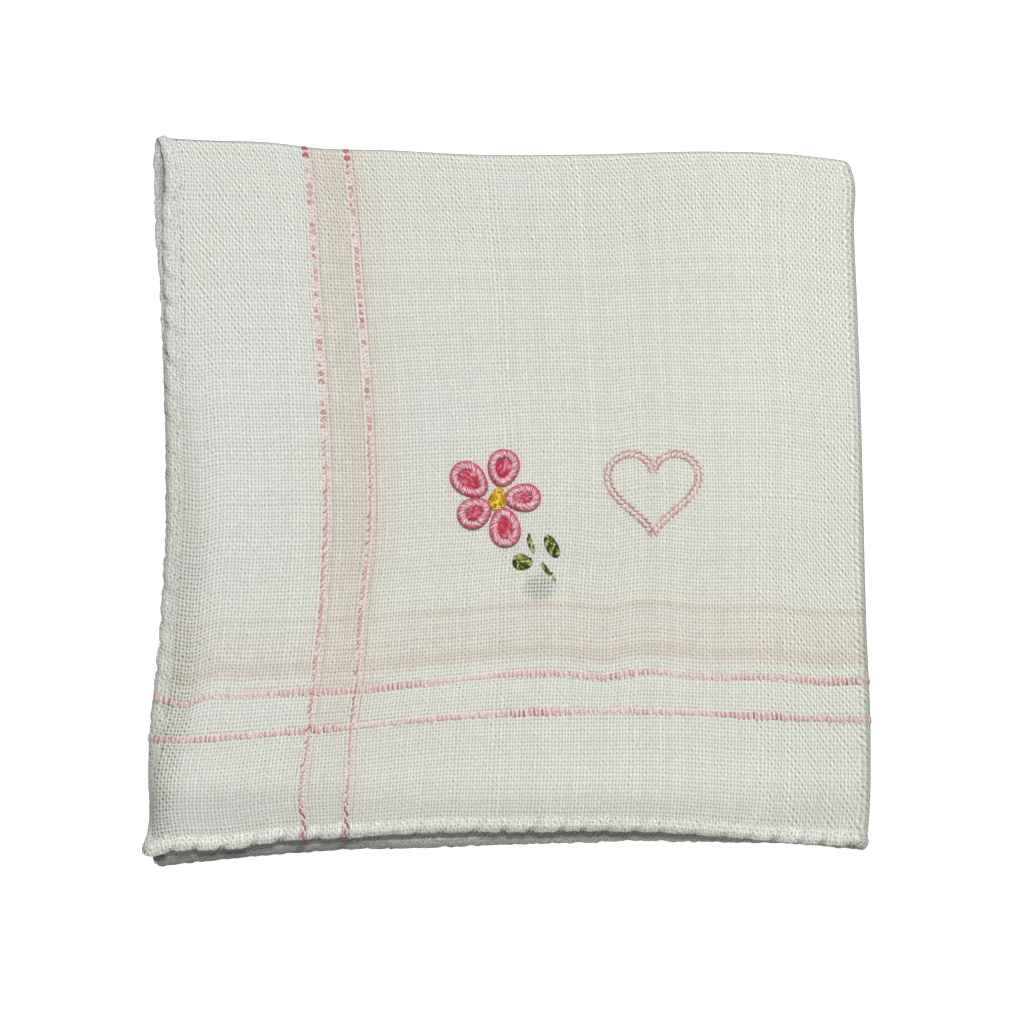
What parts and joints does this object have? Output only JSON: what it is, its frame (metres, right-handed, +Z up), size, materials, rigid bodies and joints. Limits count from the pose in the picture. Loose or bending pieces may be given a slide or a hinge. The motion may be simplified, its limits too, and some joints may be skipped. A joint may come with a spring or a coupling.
{
  "type": "folded handkerchief",
  "caption": "White hemmed cloth handkerchief folded in quarters, with pale pink stitched lines and a small embroidered flower.",
  "frame": {"origin": "middle of the folded outline, on the surface that the handkerchief lies on", "axes": "+Z up, through the layers; +Y towards the first fold; +X towards the second fold; the free hems are at -X and -Y"},
  "size_m": [0.1242, 0.1234, 0.0073],
  "materials": {
    "white_cotton": "plain weave, matt, slightly sheer",
    "pink_thread": "stranded embroidery thread, soft sheen",
    "green_thread": "stranded embroidery thread, soft sheen",
    "yellow_thread": "stranded embroidery thread, soft sheen"
  },
  "bodies": {
    "root": {"folded_handkerchief": "white_cotton"}
  },
  "joints": []
}
